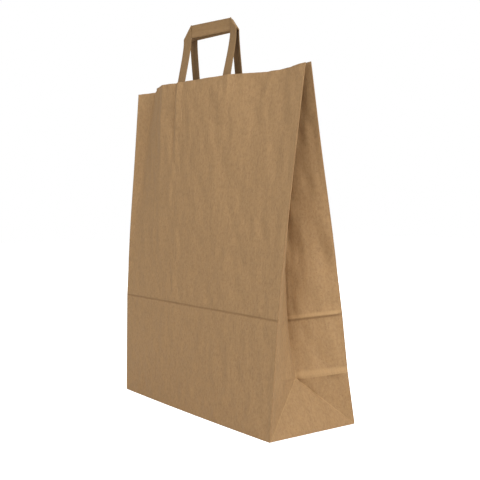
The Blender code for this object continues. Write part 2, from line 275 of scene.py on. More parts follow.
# Flat places, in mm, of what isn't on the wall: far from its folds, so that no fold line shows there.
BASE_PLACE = (1500, -300)
PATCH_PLACE = (2000, -300)
FLAP_PLACE = (-40, -60)
TAPE_BACK_PLACE = 40.0

# Patterns of the paper's pulp: size in mm across and along, detail, seed, the noise values that it
# fades in between, and its strength. Fibres are 0.03 mm wide. The streaks are drawn over 1 mm wide,
# as coarse as they need to show.
PULP = {
    "streaks": ((2.6, 26.0), 3.0, 3.1, (0.30, 0.70), 0.17),
    "blotches": ((2.4, 4.2), 3.0, 31.3, (0.35, 0.65), 0.36),
    "clouds": ((7.0, 10.0), 2.0, 9.4, (0.30, 0.70), 0.40),
    "specks": ((1.4, 1.9), 1.0, 17.7, (0.66, 0.78), 0.40),
}
THIN_PULP, THICK_PULP, BARK = 1.06, 1.22, 0.8  # lightness against the paper's and the fibres' colour

# Camera, fitted to the bag's corners and creases in the photo.
CAMERA_PLACE = (0.7894, -0.5627, 0.2396)
CAMERA_YAW = math.radians(53.722)
CAMERA_PITCH = math.radians(1.781)
CAMERA_ROLL = math.radians(-0.186)
CAMERA_LENS = 57.65
CAMERA_SENSOR = 36.0

# Soft lamps: name, place, size and power.
LAMPS = (
    ("key", (1.55, -0.18, 1.3), 1.2, 27.5),
    ("overhead", (0.3, -0.3, 2.1), 1.2, 11.0),
    ("fill", (0.2, -2.4, 1.2), 3.0, 20.7),
    ("back", (-1.7, 1.7, 1.4), 1.6, 32.0),
)
LAMP_AIM = (0.0, 0.0, 0.2)
SKY_LIGHT = 0.255
FLOOR_LIFT = 0.80
FLOOR_REACH = 6.0


def linear(code):
    """Linear colour of an sRGB hex value."""
    parts = [int(code[i : i + 2], 16) / 255 for i in (1, 3, 5)]
    return tuple(c / 12.92 if c <= 0.04045 else ((c + 0.055) / 1.055) ** 2.4 for c in parts)


def length_prop(name, text, value):
    return bpy.props.FloatProperty(
        name=name, description=text, default=value, min=0.0, unit="LENGTH", subtype="DISTANCE", precision=4
    )


def colour_prop(name, text, code):
    return bpy.props.FloatVectorProperty(
        name=name, description=text, default=linear(code), min=0.0, max=1.0, size=3, subtype="COLOR"
    )


class BagSizes(bpy.types.PropertyGroup):
    """Sizes of the folded bag."""

    width: length_prop("Width", "Width of the front panel", 0.320)
    depth: length_prop("Depth", "Depth of the base, and the width of a gusset", 0.125)
    height: length_prop("Height", "Height of a panel up the paper", 0.410)
    wall: length_prop("Paper", "Thickness of the paper", 0.0003)
    upper_crease: length_prop("Crease", "Height of the crease that the base folds up along", 0.1295)
    tape_width: length_prop("Tape width", "Width of the handles' folded tape", 0.0160)
    tape_thick: length_prop("Tape", "Thickness of the folded tape", 0.0007)
    leg_pitch: length_prop("Legs apart", "Distance between the middles of a handle's legs", 0.0790)
    leg_inside: length_prop("Legs inside", "Length of a leg that is glued inside a panel", 0.057)
    patch_width: length_prop("Patch width", "Width of the patch over the legs", 0.114)
    patch_height: length_prop("Patch height", "Height of the patch over the legs", 0.056)
    patch_drop: length_prop("Patch drop", "Distance of the patch below the top edge", 0.006)


class BagColours(bpy.types.PropertyGroup):
    """Colours of the papers and the floor."""

    paper: colour_prop("Paper", "Kraft paper", "#9F7F59")
    # Dark colour of the pulp's streaks and bark specks, also used as painted shade in the upper crease and
    # beside the panels' corner folds.
    fibre_and_shade: colour_prop("Fibres", "Darker fibres and specks in the kraft paper", "#7B5C3A")
    # Pale colour of the sheet's fold marks: painted highlight on the gussets' lips, ridges and lower
    # crease, and partly scuffed paper, partly painted highlight on the diagonal folds.
    wear_and_highlight: colour_prop("Worn folds", "Paper that has lost its glaze along a fold", "#C4A070")
    tape: colour_prop("Tape", "Folded kraft tape of the handles", "#896D4A")
    # A little darker than the paper: painted shade for the patches' place inside the bag.
    patch: colour_prop("Patch", "Kraft patches inside the bag", "#997852")
    floor: colour_prop("Floor", "Pale studio floor", "#F4F3F1")


def smooth_through(points, at):
    """Heights at places on a smooth curve through (place, height) points."""
    places, heights = np.array(points, float).T
    at = np.asarray(at, float)
    i = np.clip(np.searchsorted(places, at) - 1, 0, len(places) - 2)
    before, after = np.maximum(i - 1, 0), np.minimum(i + 2, len(places) - 1)
    span = places[i + 1] - places[i]
    slope0 = (heights[i + 1] - heights[before]) / (places[i + 1] - places[before]) * span
    slope1 = (heights[after] - heights[i]) / (places[after] - places[i]) * span
    t = (at - places[i]) / span
    return (
        heights[i] * (2 * t**3 - 3 * t**2 + 1)
        + slope0 * (t**3 - 2 * t**2 + t)
        + heights[i + 1] * (3 * t**2 - 2 * t**3)
        + slope1 * (t**3 - t**2)
    )


def ease(value, low, high):
    """0 below low, 1 above high, and a smooth step between."""
    t = np.clip((np.asarray(value, float) - low) / (high - low), 0, 1)
    return t * t * (3 - 2 * t)


def noise(x, y, seed):
    """Smooth random heights between -1 and 1, about one bump to a unit."""
    table = np.random.default_rng(seed).uniform(-1, 1, (128, 128))
    i, j = np.floor(x).astype(int), np.floor(y).astype(int)
    f, g = ease(x - i, 0, 1), ease(y - j, 0, 1)
    low = table[i % 128, j % 128] * (1 - f) + table[(i + 1) % 128, j % 128] * f
    high = table[i % 128, (j + 1) % 128] * (1 - f) + table[(i + 1) % 128, (j + 1) % 128] * f
    return low * (1 - g) + high * g


def cockles(across, up, kinds, side=0, bend=0.0, stretch=0.0):
    """Heights of paper that dried unevenly: bumps of several kinds, laid over each other."""
    total = 0.0
    for width, length, share, seed, lean, slant in kinds:
        x = (across + bend + lean * up) / width
        y = (up + stretch + slant * across) / length
        total = total + share * noise(x, y, seed + side)
    return total


def soft_fold(across, up, fold):
    """How far a soft fold stands inwards: sharp along its middle, and fading out around it."""
    (top, high), (low, foot), left, right, inwards = fold
    along = np.clip((up - foot) / (high - foot), 0, 1)
    offset = across - low - (top - low) * along
    shape = np.maximum(1 - np.where(offset < 0, -offset / left, offset / right), 0) ** 2
    shape = shape * ease(along, 0.0, FOLD_START)
    if high < FOLD_TOP:
        shape = shape * ease(1 - along, 0.0, FOLD_END)
    return inwards * shape


def unit(vectors):
    return vectors / np.linalg.norm(vectors, axis=-1, keepdims=True)


def hermite(start, end, leave, arrive, t):
    """Points from start to end, leaving and arriving along the given vectors."""
    t = np.asarray(t, float)[:, None]
    return (
        start * (2 * t**3 - 3 * t**2 + 1)
        + leave * (t**3 - 2 * t**2 + t)
        + end * (3 * t**2 - 2 * t**3)
        + arrive * (t**3 - t**2)
    )


def filled(special, step):
    """The special places, with even ones between them where the gap is wide."""
    places = sorted(special)
    result = [places[0]]
    for place in places[1:]:
        start = result[-1]
        count = max(1, round((place - start) / step))
        result += [start + (place - start) * i / count for i in range(1, count + 1)]
    return np.array(result)


class Bag:
    """Shape of the folded sheet, from the sizes in the panel."""

    def __init__(self, sizes):
        self.sizes = sizes
        self.lower = sizes.depth / 2
        self.upper = sizes.upper_crease
        self.base_lift = 2.5 * sizes.wall  # the base lies on the two long bottom flaps
        self.half_width = (sizes.width - sizes.wall) / 2
        self.half_depth = (sizes.depth - sizes.wall) / 2

    def rise(self, v):
        return max(v - self.upper, 0.0) / (self.sizes.height - self.upper)

    def lean(self, side, end, v):
        leans = LEANS[side, end]
        if v <= self.upper:
            return np.interp(v, (0, self.lower, self.upper), (0, leans[0], leans[1]))
        above = [(i / 3, lean) for i, lean in enumerate(leans[1:])]
        return float(smooth_through(above, self.rise(v)))

    def inset(self, side, u, v):
        """Distance of a panel inside the base's edge plane."""
        lean = self.lean(side, LEFT, v) * (1 - u) + self.lean(side, RIGHT, v) * u
        depth, wave = WAVES[side]
        rise = self.rise(v)
        points = [(low + (top - low) * rise, share) for top, low, share in wave]
        points = [(0.0, 0.0)] + points + [(1.0, 0.0)]
        bow = BASE_BOW * 4 * u * (1 - u) * max(1 - v / self.upper, 0.0)
        return lean + smooth_through(points, u) * depth * rise**WAVE_FADE - bow

    def panel(self, side, u, v):
        """Middle of the smooth paper of a panel, at shares of the width and one height up the paper."""
        u = np.asarray(u, float)
        z = self.base_lift - smooth_through(SAGS[side], u) * SAG_DEPTH * self.rise(v)
        foot = 0.0
        for crease in (self.lower, self.upper, self.sizes.height):
            head = min(v, crease)
            if head > foot:
                lean = self.inset(side, u, head) - self.inset(side, u, foot)
                z = z + np.sqrt((head - foot) ** 2 - lean**2)
            foot = crease
        x = (2 * u - 1) * (self.half_width - FOLD)
        return np.stack([x, side * (self.half_depth - self.inset(side, u, v)), z], axis=-1)

    def inward(self, side, u, v):
        """Unit vectors from a panel's paper into the bag."""
        u = np.asarray(u, float)
        low, high = np.maximum(u - SLOPE_STEP, 0), np.minimum(u + SLOPE_STEP, 1)
        v_low, v_high = max(v - SLOPE_STEP, 0.0), min(v + SLOPE_STEP, self.sizes.height)
        across = self.panel(side, high, v) - self.panel(side, low, v)
        up = self.panel(side, u, v_high) - self.panel(side, u, v_low)
        return unit(np.cross(across, up) * side)

    def leg_edges(self, side, end):
        """Shares of the width at a leg's two edges, outer edge first."""
        centre = HANDLE_SHIFTS[side] + end * self.sizes.leg_pitch / 2
        half = end * self.sizes.tape_width / 2
        return tuple(0.5 + place / self.sizes.width for place in (centre + half, centre - half))

    def patch_edges(self, side):
        half = self.sizes.patch_width / 2
        return tuple(0.5 + (HANDLE_SHIFTS[side] + end * half) / self.sizes.width for end in (LEFT, RIGHT))

    def relief(self, side, u, v):
        """How far the paper's unevenness carries a panel inwards."""
        across, up = u * self.sizes.width, v
        bend, stretch = (
            reach * noise(across / width, up / length, seed + side)
            for reach, width, length, seed in (WANDER_ACROSS, WANDER_ALONG)
        )
        edge = np.minimum(across, self.sizes.width - across)
        off_crease = abs(up - self.upper)
        fade = ease(edge, *EDGE_FADE) * ease(up, *FOOT_FADE) * ease(off_crease, *CREASE_FADE)
        height = COCKLE_HEIGHT * cockles(across, up, PANEL_COCKLES, side, bend, stretch) * fade
        groove = GROOVE_DEPTH * (1 - ease(off_crease, 0, GROOVE_WIDTH))
        height = height + groove * ease(edge, *CORNER_FADE)
        for end in (LEFT, RIGHT):
            low, high = (place * self.sizes.width for place in sorted(self.leg_edges(side, end)))
            foot = self.sizes.height - self.sizes.leg_inside
            on_leg = ease(across, low - IMPRINT_EDGE, low) * (1 - ease(across, high, high + IMPRINT_EDGE))
            height = height - IMPRINT_HEIGHT * on_leg * ease(up, foot - IMPRINT_EDGE, foot)
        if side == REAR:
            lap = 1 - ease(across, SEAM_PLACE - SEAM_EDGE, SEAM_PLACE + SEAM_EDGE)
            return height - SEAM_STEP * lap * ease(across, *SEAM_FADE)
        for fold in SOFT_FOLDS:
            height = height + MM * soft_fold(across / MM, up / MM, fold) * ease(edge, *CORNER_FADE)
        return height

    def gusset_relief(self, round_it, up, into):
        """How far the paper's unevenness carries a gusset outwards."""
        width, half = self.sizes.width, self.lower
        edge = np.minimum(into, half - into)
        fade = ease(edge, *GUSSET_EDGE_FADE) * ease(up, *FOOT_FADE)
        for line in (into, half, self.upper):
            fade = fade * ease(abs(up - line), *GUSSET_CREASE_FADE)
        height = COCKLE_HEIGHT * cockles(round_it, up, GUSSET_COCKLES) * fade
        right_rear = (round_it > width + half) & (round_it < width + 2 * half)
        left_rear = (round_it > 2 * (width + half)) & (round_it < 2 * width + 3 * half)
        rear_half = (right_rear | left_rear) * ease(edge, *CORNER_FADE)
        above = up - self.upper
        lip = ease(above, LIP_START, LIP_END) * (1 - ease(above, LIP_END, LIP_REACH))
        lip = lip * (1 - LIP_FALL * into / half)
        ridge = np.maximum(1 - abs(up - half) / RIDGE_REACH, 0) ** 2 * ease(up - into, *RIDGE_FADE)
        hollow = np.maximum(1 - abs(up - HOLLOW_PLACE) / HOLLOW_REACH, 0) ** 2 * ease(edge, *HOLLOW_FADE)
        return height + rear_half * (LIP_HEIGHT * lip + RIDGE_HEIGHT * ridge - HOLLOW_DEPTH * hollow)

    def paper(self, side, u, v, depth=0.0):
        """Points of a panel's uneven paper, or at a depth inside it."""
        u = np.asarray(u, float)
        inward = self.inward(side, u, v)
        return self.panel(side, u, v) + inward * (depth + self.relief(side, u, v))[:, None]

    def gusset_corners(self, end, v):
        """Where a gusset leaves the front panel and meets the rear one."""
        u = [(1 + end) / 2]
        front, rear = self.panel(FRONT, u, v)[0], self.panel(REAR, u, v)[0]
        open_share = (rear[1] - front[1]) / self.sizes.depth
        reach = np.array((end * FOLD * open_share, FOLD, 0))
        return front + reach, rear + reach * (1, -1, 1)

    def gusset_fold(self, end, v):
        """Middle of a gusset's inward fold."""
        front, rear = self.gusset_corners(end, v)
        middle = (front + rear) / 2
        gap = rear[1] - front[1]
        low_front, low_rear = self.gusset_corners(end, self.lower)
        low_half = (low_rear[1] - low_front[1]) / 2
        low_inward = math.sqrt(max(GUSSET_CHORD**2 - low_half**2, 0.0))
        apex = self.base_lift + math.sqrt(self.lower**2 - low_inward**2)
        height = apex + v - self.lower
        drop = (middle[2] - height) if v > self.lower else 0.0
        rise = max(v - self.lower, 0.0) / (self.sizes.height - self.lower)
        skew = GUSSET_SKEW * (1 - math.cos(math.pi * min(rise / SKEW_RISE, 1.0))) / 2
        skew -= EARLY_SKEW * float(ease(rise, 0.0, 0.2))
        reach = gap * (0.5 + skew)
        inward = math.sqrt(max(GUSSET_CHORD**2 - reach**2 - drop**2, 0.0))
        return np.array((middle[0] - end * inward, front[1] + reach, height))

    def half_steps(self):
        """Places across half a gusset, and up to the lower crease, close together at both ends."""
        close = {0.0, self.lower} | set(CLOSE_STEPS) | {self.lower - step for step in CLOSE_STEPS}
        return filled(close, PANEL_STEP)

    def gusset_halves(self, end, v):
        """Points across the front and the rear half of a gusset, both from the outer fold inwards."""
        steps = self.half_steps()
        share = (steps / self.lower)[:, None]
        turn = np.array((0, FOLD / 2, 0))
        level = max(v, self.lower)
        front, rear = self.gusset_corners(end, level)
        fold = self.gusset_fold(end, level)
        if v >= self.lower:
            rise = (v - self.lower) / (self.sizes.height - self.lower)
            bow = (rear[1] - front[1]) * min(4 * rise, 1.0)
            sag = 4 * share * (1 - share) * bow * np.array((0, 1, 0))
            front_half = front * (1 - share) + (fold - turn) * share + FRONT_HALF_BOW * sag
            rear_half = rear * (1 - share) + (fold + turn) * share - REAR_HALF_BOW * sag
            return front_half, rear_half
        # Below the lower crease: a facet beside each panel, and a tilted one on the base edge between.
        front_foot, rear_foot = self.gusset_corners(end, 0.0)
        halves = []
        for foot, far_foot, crease, apex, far_apex in (
            (front_foot, rear_foot, front, fold - turn, fold + turn),
            (rear_foot, front_foot, rear, fold + turn, fold - turn),
        ):
            across = foot + (crease - foot) * (v / self.lower - share) + (apex - foot) * share
            near = foot + (apex - foot) * v / self.lower
            far = far_foot + (far_apex - far_foot) * v / self.lower
            place = np.clip((steps - v) / (2 * (self.lower - v)), 0, 0.5)[:, None]
            halves.append(np.where(steps[:, None] <= v, across, near + (far - near) * place))
        return halves

    def turn_round(self, start, end, leave, arrive, reach):
        """Points of the paper's turn between two faces, without its ends."""
        steps = np.arange(1, ARC_STEPS) / ARC_STEPS
        return hermite(start, end, leave * reach, arrive * reach, steps)

    def gusset(self, end, v):
        """Points across a gusset between the two panels, with its rounded folds."""
        front_half, rear_half = self.gusset_halves(end, v)
        u = [(1 + end) / 2]
        front_edge, rear_edge = self.panel(FRONT, u, v)[0], self.panel(REAR, u, v)[0]
        gap = (rear_edge[1] - front_edge[1]) / self.sizes.depth
        reach = FOLD * (TURN_SHUT + (TURN_OPEN - TURN_SHUT) * gap)
        outward = np.array((end, 0.0, 0.0))
        into_front = unit(front_half[1] - front_half[0])
        into_rear = unit(rear_half[1] - rear_half[0])
        inner_front = unit(front_half[-1] - front_half[-2])
        inner_rear = unit(rear_half[-1] - rear_half[-2])
        row = [
            self.turn_round(front_edge, front_half[0], outward, into_front, reach),
            front_half,
            self.turn_round(front_half[-1], rear_half[-1], inner_front, -inner_rear, FOLD * 2),
            rear_half[::-1],
            self.turn_round(rear_half[0], rear_edge, -into_rear, -outward, reach),
        ]
        return np.concatenate(row)

    def gusset_places(self, start):
        """Flat places across a gusset that starts at a place round the sheet: round, and into it."""
        steps = self.half_steps()
        arc = np.arange(1, ARC_STEPS) / ARC_STEPS
        share = steps / self.lower
        half = FOLD + (self.lower - 1.5 * FOLD) * share
        whole = 2 * self.lower
        round_it = [
            arc * 2 * FOLD - FOLD,
            half,
            self.lower + (arc - 0.5) * FOLD,
            (whole - half)[::-1],
            whole - FOLD + arc * 2 * FOLD,
        ]
        flat = np.zeros(ARC_STEPS - 1)
        into = [flat, steps, flat + self.lower, steps[::-1], flat]
        return start + np.concatenate(round_it), np.concatenate(into)

    def columns(self):
        """Shares of the width at the panels' columns."""
        width = self.sizes.width
        special = {0.0, width, SEAM_PLACE - SEAM_EDGE, SEAM_PLACE + SEAM_EDGE}
        special |= set(CLOSE_STEPS) | {width - step for step in CLOSE_STEPS}
        special |= set(np.arange(*FINE_PLACES, FINE_STEP))
        for end in (LEFT, RIGHT):
            low, high = (place * width for place in sorted(self.leg_edges(FRONT, end)))
            special |= {low - IMPRINT_EDGE, low, high, high + IMPRINT_EDGE}
        return filled(special, PANEL_STEP) / width

    def rows(self):
        """Heights up the paper of the sheet's rows."""
        low = list(self.half_steps())
        middle = {self.upper} | {self.lower + step for step in CLOSE_STEPS}
        middle |= {self.upper + side * step for step in CLOSE_STEPS for side in (-1, 1)}
        leg_foot = self.sizes.height - self.sizes.leg_inside
        top = self.sizes.height - self.sizes.patch_drop
        high = {leg_foot - IMPRINT_EDGE, leg_foot, top, self.sizes.height}
        special = {self.lower} | middle | high
        return np.array(low[:-1] + list(filled(special, ROW_STEP)))

    def ring_places(self):
        """Flat places round the sheet: front panel, right gusset, rear panel and left gusset."""
        u = self.columns()
        width, depth = self.sizes.width, self.sizes.depth
        panel = FOLD + u * (width - 2 * FOLD)
        outside = -np.minimum(u, 1 - u) * width
        right_round, right_into = self.gusset_places(width)
        left_round, left_into = self.gusset_places(2 * width + depth)
        round_it = np.concatenate([panel, right_round, width + depth + panel, left_round])
        into = np.concatenate([outside, right_into, outside, left_into])
        return round_it, into

    def ring(self, v):
        """One closed ring of the bag's wall."""
        u = self.columns()
        return np.concatenate(
            [
                self.paper(FRONT, u, v),
                self.gusset(RIGHT, v),
                self.paper(REAR, u[::-1], v),
                self.gusset(LEFT, v)[::-1],
            ]
        )


def add_object(name, mesh, material):
    mesh.materials.append(material)
    obj = bpy.data.objects.new(name, mesh)
    bpy.context.scene.collection.objects.link(obj)
    return obj


def grid_faces(rows, columns, closed=False):
    """Faces of a grid of points, row by row, also from the last column to the first where closed."""
    faces = []
    for i in range(rows - 1):
        for j in range(columns if closed else columns - 1):
            k = (j + 1) % columns
            faces.append((i * columns + j, i * columns + k, (i + 1) * columns + k, (i + 1) * columns + j))
    return faces


def mesh_from(name, points, faces, places):
    mesh = bpy.data.meshes.new(name)
    mesh.from_pydata([tuple(p) for p in points], [], faces)
    layer = mesh.attributes.new(PLACE, "FLOAT_VECTOR", "POINT")
    layer.data.foreach_set("vector", np.asarray(places, np.float32).ravel())
    return mesh


def thicken(obj, thickness):
    """Give a sheet its thickness, half to each side, and shade it smooth between its sharp edges."""
    solid = obj.modifiers.new("Paper", "SOLIDIFY")
    solid.thickness = thickness
    solid.offset = 0.0
    solid.use_even_offset = False
    settle(obj)


def settle(obj, sharp=math.radians(38)):
    """Apply the modifiers, and shade smooth with sharp edges where faces meet at an angle."""
    graph = bpy.context.evaluated_depsgraph_get()
    mesh = bpy.data.meshes.new_from_object(obj.evaluated_get(graph))
    obj.modifiers.clear()
    obj.data = mesh
    mesh.shade_smooth()
    mesh.set_sharp_from_angle(angle=sharp)


def sharpen_creases(mesh, bag):
    """Mark the gussets' folded lines sharp: the upper and lower crease, and the diagonals under them."""
    places = np.empty(len(mesh.vertices) * 3, np.float32)
    mesh.attributes[PLACE].data.foreach_get("vector", places)
    _, up, into = places.reshape(-1, 3).T
    ends = np.empty(len(mesh.edges) * 2, np.int32)
    mesh.edges.foreach_get("vertices", ends)
    ends = ends.reshape(-1, 2)
    on_gusset = into >= -LINE_SLACK
    lines = (
        on_gusset & (abs(up - bag.upper / MM) < LINE_SLACK),
        on_gusset & (abs(up - bag.lower / MM) < LINE_SLACK),
        on_gusset & (into > LINE_SLACK) & (abs(up - into) < LINE_SLACK),
    )
    sharp = np.zeros(len(mesh.edges), bool)
    mesh.attributes["sharp_edge"].data.foreach_get("value", sharp)
    for line in lines:
        sharp |= line[ends[:, 0]] & line[ends[:, 1]]
    mesh.attributes["sharp_edge"].data.foreach_set("value", sharp)


def check_place(obj, node, slack=0.006):
    """Stop where a piece has strayed from the solid that it stands for."""
    low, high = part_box(node)
    corners = np.array([v.co for v in obj.data.vertices])
    if np.abs(corners.min(0) - low).max() > slack or np.abs(corners.max(0) - high).max() > slack:
        raise RuntimeError(f"{obj.name} isn't where {node} is: {corners.min(0)} to {corners.max(0)}")


def make_sheet(bag, material):
    """The bag's one sheet: its wall, its base and the two long bottom flaps."""
    heights = bag.rows()
    grid = np.array([bag.ring(v) for v in heights])
    round_it, into = bag.ring_places()
    count = len(round_it)

    rows_up = np.gradient(grid, axis=0)
    across = np.roll(grid, -1, axis=1) - np.roll(grid, 1, axis=1)
    outward = unit(np.cross(across, rows_up))
    up = heights[:, None]
    height = bag.gusset_relief(round_it[None], up, into[None])
    grid = grid + outward * height[..., None] * (into[None, :, None] > 0)

    drift = np.interp(round_it / MM, *np.array(CREASE_DRIFT).T)
    grid[..., 2] += drift[None] * (1 - ease(np.abs(up - bag.upper), 0.0, DRIFT_REACH))

    places = np.stack(np.broadcast_arrays(round_it[None] / MM, up / MM, into[None] / MM), axis=-1)
    points = grid.reshape(-1, 3)
    faces = grid_faces(len(heights), count, closed=True)
    mesh = mesh_from("bag_sheet", points, faces, places.reshape(-1, 3))
    sheet = add_object("bag_sheet", mesh, material)
    split_diagonals(mesh)
    thicken(sheet, bag.sizes.wall)
    sharpen_creases(sheet.data, bag)
    base = make_base(bag, grid[0], material)
    flaps = [make_flap(bag, side, material) for side in (FRONT, REAR)]
    join(sheet, [base] + flaps)
    return sheet


def split_diagonals(mesh):
    """Cut the faces that a gusset's diagonal crease crosses along it."""
    work = bmesh.new()
    work.from_mesh(mesh)
    layer = work.verts.layers.float_vector[PLACE]
    pairs = []
    for face in work.faces:
        in_gusset = [v for v in face.verts if v[layer].z > -LINE_SLACK]
        on_line = [v for v in in_gusset if abs(v[layer].y - v[layer].z) < LINE_SLACK]
        if len(on_line) != 2:
            continue
        first, second = on_line
        if all(edge.other_vert(first) != second for edge in first.link_edges):
            pairs.append(on_line)
    for pair in pairs:
        bmesh.ops.connect_verts(work, verts=pair)
    work.to_mesh(mesh)
    work.free()


def make_base(bag, foot, material):
    """The base sheet inside the bag, between the four feet of the wall."""
    u = bag.columns()
    n = len(u)
    m = (len(foot) - 2 * n) // 2
    front, right = foot[:n], foot[n : n + m]
    rear, left = foot[n + m : 2 * n + m][::-1], foot[2 * n + m :][::-1]
    right = np.concatenate([front[-1:], right, rear[-1:]])
    left = np.concatenate([front[:1], left, rear[:1]])
    picks = np.unique(np.linspace(0, m + 1, BASE_ROWS).round().astype(int))
    right, left = right[picks], left[picks]
    w = ((right[:, 1] - right[0, 1]) / (right[-1, 1] - right[0, 1]))[:, None, None]
    across = u[None, :, None]
    grid = front[None] * (1 - w) + rear[None] * w + left[:, None] * (1 - across) + right[:, None] * across
    corners = (front[0] * (1 - across) + front[-1] * across) * (1 - w)
    corners = corners + (rear[0] * (1 - across) + rear[-1] * across) * w
    grid = grid - corners
    grid[..., 2] = bag.base_lift
    start, outside = BASE_PLACE
    places = np.stack([grid[..., 0] / MM + start, grid[..., 1] / MM, 0 * grid[..., 0] + outside], axis=-1)
    faces = [face[::-1] for face in grid_faces(len(picks), n)]
    mesh = mesh_from("base", grid.reshape(-1, 3), faces, places.reshape(-1, 3))
    base = add_object("base", mesh, material)
    thicken(base, bag.sizes.wall)
    return base


def make_flap(bag, side, material):
    """A long bottom flap, from its turn under the panel to its free edge, with 45 degree ends."""
    sizes = bag.sizes
    level = {FRONT: 0.5, REAR: 1.5}[side] * sizes.wall  # the front flap is glued on last, so it is lowest
    u = bag.columns()
    foot = bag.paper(side, u, 0.0)
    drop = bag.base_lift - level
    turns = [(0.0, bag.base_lift)]
    for angle in np.linspace(*FLAP_TURN):
        turns.append((drop * (1 - math.cos(angle)), level + drop * (1 - math.sin(angle))))
    reach = sizes.depth / 2 + BOTTOM_LAP / 2 - FLAP_INSET
    turns += [(inward, level) for inward in np.linspace(drop, reach, FLAP_ROWS)[1:]]
    rows = []
    for inward, z in turns:
        row = foot.copy()
        row[:, 0] *= 1 - max(inward - drop, 0.0) / (sizes.width / 2)
        row[:, 1] -= side * inward
        if inward == turns[-1][0]:
            row[:, 1] = row[:, 1].mean()
        row[:, 2] = z
        rows.append(row)
    grid = np.array(rows)
    start = {FRONT: 0.0, REAR: sizes.width + sizes.depth}[side] / MM
    below, outside = FLAP_PLACE
    places = np.stack(
        np.broadcast_arrays(
            start + (u * sizes.width)[None] / MM,
            np.array([below - inward / MM for inward, _ in turns])[:, None],
            np.full((1, 1), float(outside)),
        ),
        axis=-1,
    )
    faces = grid_faces(len(turns), len(u))
    if side == FRONT:
        faces = [face[::-1] for face in faces]
    mesh = mesh_from("flap", grid.reshape(-1, 3), faces, places.reshape(-1, 3))
    flap = add_object("flap", mesh, material)
    thicken(flap, sizes.wall)
    return flap


def join(target, others):
    with bpy.context.temp_override(
        active_object=target, object=target, selected_objects=[target] + others,
        selected_editable_objects=[target] + others,
    ):
        bpy.ops.object.join()


def make_patch(bag, name, side, material):
    """Patch that lies on the panel inside and climbs over the two legs."""
    sizes = bag.sizes
    flat = sizes.wall + GLUE_GAP
    raised = flat + sizes.tape_thick + GLUE_GAP
    first, last = (place * sizes.width for place in bag.patch_edges(side))
    legs = [sorted(place * sizes.width for place in bag.leg_edges(side, end)) for end in (LEFT, RIGHT)]
    special = {first, last} | {edge for leg in legs for edge in leg}
    across = filled(special, PATCH_GRID)
    top = sizes.height - sizes.patch_drop
    heights = filled({top - sizes.patch_height, sizes.height - sizes.leg_inside, top}, PATCH_GRID)
    on_leg = 0.0
    for low, high in legs:
        climb, descent = ease(across, low - PATCH_STEP, low), ease(across, high, high + PATCH_STEP)
        on_leg = on_leg + climb * (1 - descent)
    depths = flat + (raised - flat) * on_leg
    grid = np.array([bag.paper(side, across / sizes.width, v, depths) for v in heights])
    start, outside = PATCH_PLACE
    round_it, up = across[None] / MM + start, heights[:, None] / MM
    places = np.stack(np.broadcast_arrays(round_it, up, np.full((1, 1), float(outside))), axis=-1)
    faces = grid_faces(len(heights), len(across))
    mesh = mesh_from(name, grid.reshape(-1, 3), faces, places.reshape(-1, 3))
    patch = add_object(name, mesh, material)
    thicken(patch, sizes.wall)
    return patch


def grip_frame(side):
    """Middle of a grip's top edge, with its directions along, up and towards the front."""
    *place, turn, tilt = GRIPS[side]
    along = np.array((math.cos(turn) * math.cos(tilt), math.sin(turn) * math.cos(tilt), math.sin(tilt)))
    facing = unit(np.cross(along, (0, 0, 1)))
    return np.array(place), along, np.cross(facing, along), facing


def mitre_frame(bag, side, end):
    """The same for a mitre, which keeps its leg's turn: the tape bends a little where the grip starts."""
    top, along, _, _ = grip_frame(side)
    centre = top + along * end * bag.sizes.leg_pitch / 2
    turn = MITRE_TURNS[side, end]
    across = np.array((math.cos(turn), math.sin(turn), 0.0))
    facing = unit(np.cross(across, (0, 0, 1)))
    return centre, across, np.cross(facing, across), facing


def tape_section(middles, faces, thick):
    """Ring of points round the tape, from the middles of its profile and its face directions."""
    shares, fullness = np.array(TAPE_PROFILE).T
    half = thick / 2
    upper = middles + faces * (half * fullness)[:, None]
    ply = np.where(shares > PLY_EDGE, PLY_STEP, 0.0) * (fullness == 1.0)
    lower = middles - faces * (half * fullness - ply)[:, None]
    return np.concatenate([upper, lower[::-1]])


def straight_section(edge_a, edge_b, face, thick):
    shares = np.array(TAPE_PROFILE)[:, :1]
    middles = edge_a * (1 - shares) + edge_b * shares
    return tape_section(middles, np.broadcast_to(face, middles.shape), thick)


